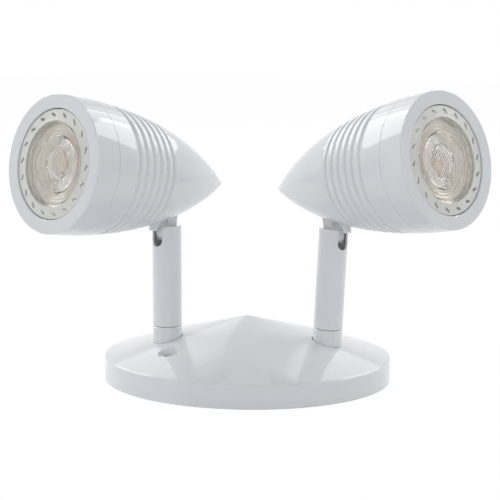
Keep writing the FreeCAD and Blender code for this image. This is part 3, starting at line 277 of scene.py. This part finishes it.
TURN_STEPS = 144
SOURCE_TURN_STEPS = 72
MERGE_DISTANCE = 0.000001
FLAT_TOLERANCE = 0.00001
LENS_RADIUS = 19.2
LENS_FRONT_DISH = 0.3
LENS_EDGE = 0.6
LENS_EDGE_DEPTH = 0.9
LENS_EDGE_BREAK = 0.15
LENS_SHOULDER_BREAK = 0.1
LENS_BACK = 3.3
FACET_ZONE = 7.6
FACET_PITCH = 1.15
FACET_MARGIN = FACET_PITCH / 4
FACET_DEPTH = 0.42
STEP_ZONE_END = 13.4
STEP_COUNT = 7
STEP_DEPTH = 0.3
STEP_CREST = 0.8
WAVE_COUNT = 3
WAVE_ZONE_END = 17.6
WAVE_DEPTH = 0.10
WAVE_STEPS = 8
RIPPLE_COUNT = 7
RIPPLE_DEPTH = 0.09
RIPPLE_STEPS = 8
DISH_EDGE_STEPS = 6
DISH_MIDDLE_STEPS = 5
BOARD_FRONT = 11.2
BOARD_RADIUS = 16.0
BOARD_THICK = 1.2
BOARD_BREAK = 0.2
SKIRT_FRONT = 0.75
REFLECTOR_MOUTH = (19.24, 3.4)
REFLECTOR_FOOT = (7.0, 8.6)
REFLECTOR_STEPS = 10
TERRACE_LIP = ((0.3, 0.2), (0.08, 0.3))
REFLECTOR_SKIN = 1.0
REFLECTOR_WALL = 0.24
REFLECTOR_END = 0.1
RING_BACK = 3.8
RING_FACE = -0.2
RING_LIP = -0.6
RING_INNER = 19.55
RING_LIP_WIDTH = 1.0
RING_BREAK = 0.15
LIP_ROUND = ((-0.45, 0.0), (-0.2, 0.1))
LIP_FOOT = ((0.0, -0.08), (0.2, 0.0))
RING_OUTER = 25.0
RING_EDGE = ((-0.5, 0.0), (-0.15, 0.15), (0.0, 0.5))
SLOT_COUNT = 18
SLOT_MIDDLE = 22.5
SLOT_LENGTH = 3.1
SLOT_WIDTH = 1.25
SLOT_TURN = math.radians(30)
SLOT_SHALLOW = 0.35
SLOT_DEEP = 1.9
SLOT_ENDS = ((-1, 0.5), (-0.8, 1), (0.8, 1), (1, 0.5))
CUTTER_TOP = RING_LIP - 0.5
SOURCE_RADIUS = 4.3
SOURCE_DOME = ((0.0, 0.75), (0.6, 0.68), (1.0, 0.45))
SOURCE_SEAT = 0.05
FUNNEL_RADIUS = SOURCE_RADIUS + 1.3
DAM_RADIUS = 5.3
DAM_SHOULDER = 0.6
DAM_CREST = 0.9


class LampPlace:
    """Turns radius, turn and depth in a lamp into a place in the row frame."""

    def __init__(self, side):
        lens = nodes[side + "_lamp_lens"]
        pull = next(item for item in frame["joints"] if item["name"] == side + "_lamp_pull")
        self.inward = -Vector(pull["axis"]).normalized()
        self.across = self.inward.cross(Vector((0, 0, 1))).normalized()
        self.down = self.inward.cross(self.across)
        lowest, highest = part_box(lens.name)
        middle = (Vector(lowest) + Vector(highest)) / 2
        front = min((corner.co - middle).dot(self.inward) for corner in lens.data.vertices)
        self.origin = middle + self.inward * front

    def flat(self, x, y, depth):
        return self.origin + (self.across * x + self.down * y + self.inward * depth) * MM

    def turned(self, radius, step, depth, steps=TURN_STEPS):
        angle = 2 * math.pi * step / steps
        return self.flat(radius * math.cos(angle), radius * math.sin(angle), depth)


def finish_piece(shape, name, material, body, sharp=PIECE_SHARP):
    """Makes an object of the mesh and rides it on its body."""
    mesh = bpy.data.meshes.new(name)
    bmesh.ops.recalc_face_normals(shape, faces=shape.faces)
    shape.to_mesh(mesh)
    shape.free()
    for face in mesh.polygons:
        face.use_smooth = True
    mesh.set_sharp_from_angle(angle=math.radians(sharp))
    mesh.materials.append(material)
    item = bpy.data.objects.new(name, mesh)
    scene.collection.objects.link(item)
    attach(item, body)
    return item


def add_ring(shape, place, radius, depth, steps=TURN_STEPS):
    return [shape.verts.new(place.turned(radius, step, depth, steps)) for step in range(steps)]


def bridge(shape, inner, outer):
    count = len(inner)
    for step in range(count):
        after = (step + 1) % count
        shape.faces.new((inner[step], outer[step], outer[after], inner[after]))


def revolve(shape, place, outline, steps=TURN_STEPS, before=None):
    """A turned surface through the outline's points, from a ring that is already there if
    one is given. An end on the axis closes to a point."""
    for radius, depth in outline:
        if radius == 0:
            ring = [shape.verts.new(place.flat(0, 0, depth))]
        else:
            ring = add_ring(shape, place, radius, depth, steps)
        if before is not None:
            if len(before) == 1 or len(ring) == 1:
                tip, rim = (before[0], ring) if len(before) == 1 else (ring[0], before)
                for step in range(len(rim)):
                    shape.faces.new((tip, rim[step], rim[(step + 1) % len(rim)]))
            else:
                bridge(shape, before, ring)
        before = ring


def revolve_closed(shape, place, outline, steps=TURN_STEPS):
    """A turned ring whose outline runs back to its first point."""
    revolve(shape, place, outline + outline[:1], steps)
    bmesh.ops.remove_doubles(shape, verts=shape.verts, dist=MERGE_DISTANCE)


def facet_points():
    """Corners and middles of the small square facets, turned by an eighth of a turn."""
    reach = int(FACET_ZONE / FACET_PITCH) + 2
    limit = FACET_ZONE - FACET_MARGIN
    corner = math.sqrt(0.5)
    points = []
    for row in range(-2 * reach, 2 * reach + 1):
        for column in range(-2 * reach, 2 * reach + 1):
            if (row + column) % 2:
                continue
            x, y = column * FACET_PITCH / 2, row * FACET_PITCH / 2
            x, y = (x - y) * corner, (x + y) * corner
            if math.hypot(x, y) < limit:
                points.append((x, y, LENS_BACK - (FACET_DEPTH if row % 2 else 0)))
    return points


def add_facets(shape, place):
    """The faceted middle of the lens's back. Returns its outer ring."""
    inside = facet_points()
    rim = [(FACET_ZONE * math.cos(2 * math.pi * step / TURN_STEPS),
            FACET_ZONE * math.sin(2 * math.pi * step / TURN_STEPS), LENS_BACK)
           for step in range(TURN_STEPS)]
    points = rim + inside
    edges = [(step, (step + 1) % TURN_STEPS) for step in range(TURN_STEPS)]
    flat = [Vector(point[:2]) for point in points]
    _, _, faces, origins, _, _ = delaunay_2d_cdt(flat, edges, [], 1, FLAT_TOLERANCE)
    corners = [shape.verts.new(place.flat(*points[source[0]])) for source in origins]
    for face in faces:
        shape.faces.new([corners[index] for index in face])
    ring = [None] * TURN_STEPS
    for index, source in enumerate(origins):
        if source[0] < TURN_STEPS:
            ring[source[0]] = corners[index]
    return ring


def back_rings():
    """Radius and depth of the stepped and the waved rings on the lens's back."""
    pitch = (STEP_ZONE_END - FACET_ZONE) / STEP_COUNT
    for step in range(STEP_COUNT):
        start = FACET_ZONE + step * pitch
        yield start + STEP_CREST * pitch, LENS_BACK - STEP_DEPTH
        yield start + pitch, LENS_BACK
    pitch = (WAVE_ZONE_END - STEP_ZONE_END) / WAVE_COUNT
    for wave in range(WAVE_COUNT):
        start = STEP_ZONE_END + wave * pitch
        for part in range(1, WAVE_STEPS + 1):
            sag = WAVE_DEPTH * math.sin(math.pi * part / WAVE_STEPS)
            yield start + part * pitch / WAVE_STEPS, LENS_BACK - sag


def front_outline(shoulder):
    """The lens's dished front from its shoulder to the axis, rippled over the steps."""
    count = RIPPLE_COUNT * RIPPLE_STEPS
    radii = [shoulder - (shoulder - STEP_ZONE_END) * part / DISH_EDGE_STEPS
             for part in range(1, DISH_EDGE_STEPS)]
    radii += [STEP_ZONE_END - (STEP_ZONE_END - FACET_ZONE) * part / count
              for part in range(count + 1)]
    radii += [FACET_ZONE * part / DISH_MIDDLE_STEPS
              for part in reversed(range(DISH_MIDDLE_STEPS))]
    outline = []
    for radius in radii:
        share = (STEP_ZONE_END - radius) / (STEP_ZONE_END - FACET_ZONE)
        swell = math.sin(math.pi * RIPPLE_COUNT * share) ** 2 if 0 < share < 1 else 0
        depth = LENS_FRONT_DISH * (radius / shoulder) ** 2 + RIPPLE_DEPTH * swell
        outline.append((radius, depth))
    return outline


def make_lens(side, place, materials):
    """The lens in one skin: facets, stepped and waved back, edge and dished front."""
    shape = bmesh.new()
    facet_rim = add_facets(shape, place)
    shoulder = LENS_RADIUS - LENS_EDGE
    edge = [(LENS_RADIUS - LENS_EDGE_BREAK, LENS_BACK),
            (LENS_RADIUS, LENS_BACK - LENS_EDGE_BREAK),
            (LENS_RADIUS, LENS_EDGE_DEPTH + LENS_SHOULDER_BREAK),
            (LENS_RADIUS - LENS_SHOULDER_BREAK, LENS_EDGE_DEPTH),
            (shoulder, LENS_FRONT_DISH)]
    outline = list(back_rings()) + edge + front_outline(shoulder)
    revolve(shape, place, outline, before=facet_rim)
    item = finish_piece(shape, side + "_lens", materials["clear_lens"],
                        side + "_lamp", sharp=LENS_SHARP)
    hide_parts(side + "_lamp_lens")


def slot_corner(place, angle, reach, width):
    """A place beside the middle of a slanting slot, as a function of depth."""
    x = SLOT_MIDDLE + math.sin(SLOT_TURN) * reach + math.cos(SLOT_TURN) * width
    y = math.sin(SLOT_TURN) * width - math.cos(SLOT_TURN) * reach
    across = x * math.cos(angle) - y * math.sin(angle)
    down = x * math.sin(angle) + y * math.cos(angle)
    return lambda depth: place.flat(across, down, depth)


def slot_cutter(place):
    """One louvre for each air slot: a slanted bar whose floor falls towards one end."""
    shape = bmesh.new()
    for slot in range(SLOT_COUNT):
        angle = 2 * math.pi * slot / SLOT_COUNT
        rows = []
        for share, width_share in SLOT_ENDS:
            reach = share * SLOT_LENGTH / 2
            half = SLOT_WIDTH / 2 * width_share
            floor = RING_FACE + SLOT_SHALLOW + (SLOT_DEEP - SLOT_SHALLOW) * (share + 1) / 2
            one = slot_corner(place, angle, reach, half)
            other = slot_corner(place, angle, reach, -half)
            corners = (one(CUTTER_TOP), other(CUTTER_TOP), other(floor), one(floor))
            rows.append([shape.verts.new(corner) for corner in corners])
        for near, far in zip(rows, rows[1:]):
            bridge(shape, near, far)
        shape.faces.new(rows[0])
        shape.faces.new(rows[-1][::-1])
    bmesh.ops.recalc_face_normals(shape, faces=shape.faces)
    mesh = bpy.data.meshes.new("slot_cutter")
    shape.to_mesh(mesh)
    shape.free()
    item = bpy.data.objects.new("slot_cutter", mesh)
    scene.collection.objects.link(item)
    return item


def make_ring(side, place, materials):
    """The lamp's front ring, with a rounded lip round the lens and slanted air slots."""
    lip = RING_INNER + RING_LIP_WIDTH
    outline = [(RING_INNER, RING_BACK), (RING_INNER, RING_LIP + RING_BREAK),
               (RING_INNER + RING_BREAK, RING_LIP)]
    outline += [(lip + reach, RING_LIP + drop) for reach, drop in LIP_ROUND]
    outline += [(lip + reach, RING_FACE + drop) for reach, drop in LIP_FOOT]
    outline += [(RING_OUTER + reach, RING_FACE + drop) for reach, drop in RING_EDGE]
    outline.append((RING_OUTER, RING_BACK))
    shape = bmesh.new()
    revolve_closed(shape, place, outline)
    item = finish_piece(shape, side + "_front_ring", materials["lamp_plastic"],
                        side + "_lamp", sharp=RING_SHARP)
    cutter = slot_cutter(place)
    cut = item.modifiers.new("slots", "BOOLEAN")
    cut.object = cutter
    cut.solver = "EXACT"
    bpy.context.view_layer.update()
    graph = bpy.context.evaluated_depsgraph_get()
    cut_mesh = bpy.data.meshes.new_from_object(item.evaluated_get(graph))
    item.modifiers.clear()
    item.data = cut_mesh
    item.data.set_sharp_from_angle(angle=math.radians(RING_SHARP))
    bpy.data.objects.remove(cutter)
    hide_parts(side + "_lamp_ring")


def make_reflector(side, place, materials):
    """A thin satin cone in terraces between lens and board, with a skirt round the lens."""
    mouth_radius, mouth_depth = REFLECTOR_MOUTH
    foot_radius, foot_depth = REFLECTOR_FOOT
    terrace = (mouth_radius - foot_radius) / REFLECTOR_STEPS
    riser = (foot_depth - mouth_depth) / REFLECTOR_STEPS
    inner = [(mouth_radius, SKIRT_FRONT), (mouth_radius, mouth_depth)]
    for step in range(REFLECTOR_STEPS):
        radius = mouth_radius - (step + 1) * terrace
        depth = mouth_depth + step * riser
        inner += [(radius + back * terrace, depth + down * riser) for back, down in TERRACE_LIP]
        inner.append((radius, depth + riser))
    inner.append((FUNNEL_RADIUS, BOARD_FRONT - REFLECTOR_END))
    outer = [(mouth_radius + REFLECTOR_WALL, SKIRT_FRONT),
             (mouth_radius + REFLECTOR_WALL, mouth_depth + REFLECTOR_SKIN),
             (foot_radius + REFLECTOR_WALL, foot_depth + REFLECTOR_SKIN),
             (FUNNEL_RADIUS + REFLECTOR_WALL, BOARD_FRONT - REFLECTOR_END)]
    shape = bmesh.new()
    revolve_closed(shape, place, inner + outer[::-1])
    finish_piece(shape, side + "_reflector", materials["satin_reflector"],
                 side + "_lamp", sharp=REFLECTOR_SHARP)


def make_board(side, place, materials):
    """The circuit board with its bevelled edge, and the round source in its dam."""
    back = BOARD_FRONT + BOARD_THICK
    seat = BOARD_FRONT - SOURCE_SEAT
    shape = bmesh.new()
    revolve(shape, place, [(0, BOARD_FRONT), (BOARD_RADIUS - BOARD_BREAK, BOARD_FRONT),
                           (BOARD_RADIUS, BOARD_FRONT + BOARD_BREAK), (BOARD_RADIUS, back),
                           (0, back)])
    board = finish_piece(shape, side + "_board", materials["led_board"],
                         side + "_lamp")
    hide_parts(side + "_led_module")
    shape = bmesh.new()
    dome = [(SOURCE_RADIUS * share, BOARD_FRONT - rise) for share, rise in SOURCE_DOME]
    revolve(shape, place, dome + [(SOURCE_RADIUS, seat), (0, seat)], SOURCE_TURN_STEPS)
    finish_piece(shape, side + "_light_source", materials["phosphor"],
                 side + "_lamp")
    shape = bmesh.new()
    inner = SOURCE_RADIUS + SOURCE_SEAT
    shoulder = BOARD_FRONT - DAM_SHOULDER
    outline = [(inner, seat), (inner, shoulder),
               ((inner + DAM_RADIUS) / 2, BOARD_FRONT - DAM_CREST),
               (DAM_RADIUS, shoulder), (DAM_RADIUS, seat)]
    revolve_closed(shape, place, outline, SOURCE_TURN_STEPS)
    finish_piece(shape, side + "_source_dam", materials["ceramic"],
                 side + "_lamp", sharp=DAM_SHARP)


def make_optics(materials):
    for side in ("left", "right"):
        place = LampPlace(side)
        make_ring(side, place, materials)
        make_lens(side, place, materials)
        make_reflector(side, place, materials)
        make_board(side, place, materials)


# Floor, world and lamps

def seen_plainly(tree):
    """One for rays from the camera, from mirrors and through glass, nought for the rest."""
    path = tree.nodes.new("ShaderNodeLightPath")
    total = path.outputs["Is Camera Ray"]
    for name in ("Is Glossy Ray", "Is Transmission Ray"):
        add = tree.nodes.new("ShaderNodeMath")
        add.use_clamp = True
        tree.links.new(total, add.inputs[0])
        tree.links.new(path.outputs[name], add.inputs[1])
        total = add.outputs[0]
    return total


def add_floor():
    """A pale floor that is near white where it is seen and still takes a shadow."""
    mesh = bpy.data.meshes.new("floor")
    corners = [(-FLOOR_REACH, -FLOOR_REACH, 0), (FLOOR_REACH, -FLOOR_REACH, 0),
               (FLOOR_REACH, FLOOR_REACH, 0), (-FLOOR_REACH, FLOOR_REACH, 0)]
    mesh.from_pydata(corners, [], [(0, 1, 2, 3)])
    floor = bpy.data.objects.new("floor", mesh)
    floor.location.z = -FLOOR_GAP
    scene.collection.objects.link(floor)
    material = bpy.data.materials.new("pale_floor")
    material.use_nodes = True
    tree = material.node_tree
    shader = tree.nodes["Principled BSDF"]
    shader.inputs["Base Color"].default_value = FLOOR_COLOUR
    shader.inputs["Roughness"].default_value = FLOOR_ROUGHNESS
    shader.inputs["Specular IOR Level"].default_value = 0.0
    glow = tree.nodes.new("ShaderNodeEmission")
    glow.inputs["Color"].default_value = WHITE
    glow.inputs["Strength"].default_value = FLOOR_GLOW
    share = tree.nodes.new("ShaderNodeMath")
    share.operation = "MULTIPLY"
    share.inputs[1].default_value = FLOOR_WHITENESS
    tree.links.new(seen_plainly(tree), share.inputs[0])
    mix = tree.nodes.new("ShaderNodeMixShader")
    tree.links.new(share.outputs[0], mix.inputs["Fac"])
    tree.links.new(shader.outputs[0], mix.inputs[1])
    tree.links.new(glow.outputs[0], mix.inputs[2])
    tree.links.new(mix.outputs[0], tree.nodes["Material Output"].inputs["Surface"])
    mesh.materials.append(material)


def height_light(tree, height, stops):
    """A brightness by how high the ray looks."""
    ramp = tree.nodes.new("ShaderNodeValToRGB")
    elements = ramp.color_ramp.elements
    for (position, value), element in zip(stops, elements):
        element.position = position
        element.color = tuple(value * part for part in COOLNESS)
    for position, value in stops[2:]:
        elements.new(position).color = tuple(value * part for part in COOLNESS)
    tree.links.new(height, ramp.inputs["Fac"])
    return ramp.outputs["Color"]


def add_world():
    """White where it is seen, plainly or in metal and glass, and a room that lights."""
    world = bpy.data.worlds.new("studio")
    world.use_nodes = True
    scene.world = world
    tree = world.node_tree
    place = tree.nodes.new("ShaderNodeTexCoord")
    parts = tree.nodes.new("ShaderNodeSeparateXYZ")
    tree.links.new(place.outputs["Generated"], parts.inputs[0])
    toward_back = tree.nodes.new("ShaderNodeMapRange")
    toward_back.inputs["From Min"].default_value = -BACKDROP_BLEND
    toward_back.inputs["From Max"].default_value = BACKDROP_BLEND
    tree.links.new(parts.outputs["Y"], toward_back.inputs["Value"])
    room = tree.nodes.new("ShaderNodeMix")
    room.data_type = "RGBA"
    tree.links.new(toward_back.outputs[0], room.inputs["Factor"])
    tree.links.new(height_light(tree, parts.outputs["Z"], ROOM_STOPS), room.inputs["A"])
    tree.links.new(height_light(tree, parts.outputs["Z"], BACKDROP_STOPS), room.inputs["B"])
    dim = tree.nodes["Background"]
    tree.links.new(room.outputs["Result"], dim.inputs["Color"])
    across = tree.nodes.new("ShaderNodeMapRange")
    across.inputs["From Min"].default_value = -1
    across.inputs["To Min"].default_value = LEFT_STRENGTH
    across.inputs["To Max"].default_value = RIGHT_STRENGTH
    tree.links.new(parts.outputs["X"], across.inputs["Value"])
    tree.links.new(across.outputs["Result"], dim.inputs["Strength"])
    plain = tree.nodes.new("ShaderNodeBackground")
    plain.inputs["Color"].default_value = WHITE
    mix = tree.nodes.new("ShaderNodeMixShader")
    tree.links.new(seen_plainly(tree), mix.inputs["Fac"])
    tree.links.new(dim.outputs[0], mix.inputs[1])
    tree.links.new(plain.outputs[0], mix.inputs[2])
    tree.links.new(mix.outputs[0], tree.nodes["World Output"].inputs["Surface"])


def add_softbox(name, side, rise, distance, size, radiance):
    """A rectangular lamp of an even radiance. Side and rise say where it stands, in
    degrees round and above the camera's target."""
    side = math.radians(side)
    rise = math.radians(rise)
    toward = Vector((math.sin(side) * math.cos(rise),
                     -math.cos(side) * math.cos(rise),
                     math.sin(rise)))
    data = bpy.data.lights.new(name, "AREA")
    data.shape = "RECTANGLE"
    data.size, data.size_y = size
    data.energy = radiance * math.pi * data.size * data.size_y
    lamp = bpy.data.objects.new(name, data)
    scene.collection.objects.link(lamp)
    lamp.location = CAMERA_TARGET + toward * distance
    lamp.rotation_mode = "QUATERNION"
    lamp.rotation_quaternion = toward.to_track_quat("Z", "Y")
    lamp.visible_camera = False


add_camera()
materials = make_materials()
dress_nodes(materials)
make_optics(materials)
add_floor()
add_world()
for softbox in SOFTBOXES:
    add_softbox(*softbox)
scene.view_settings.view_transform = "Standard"
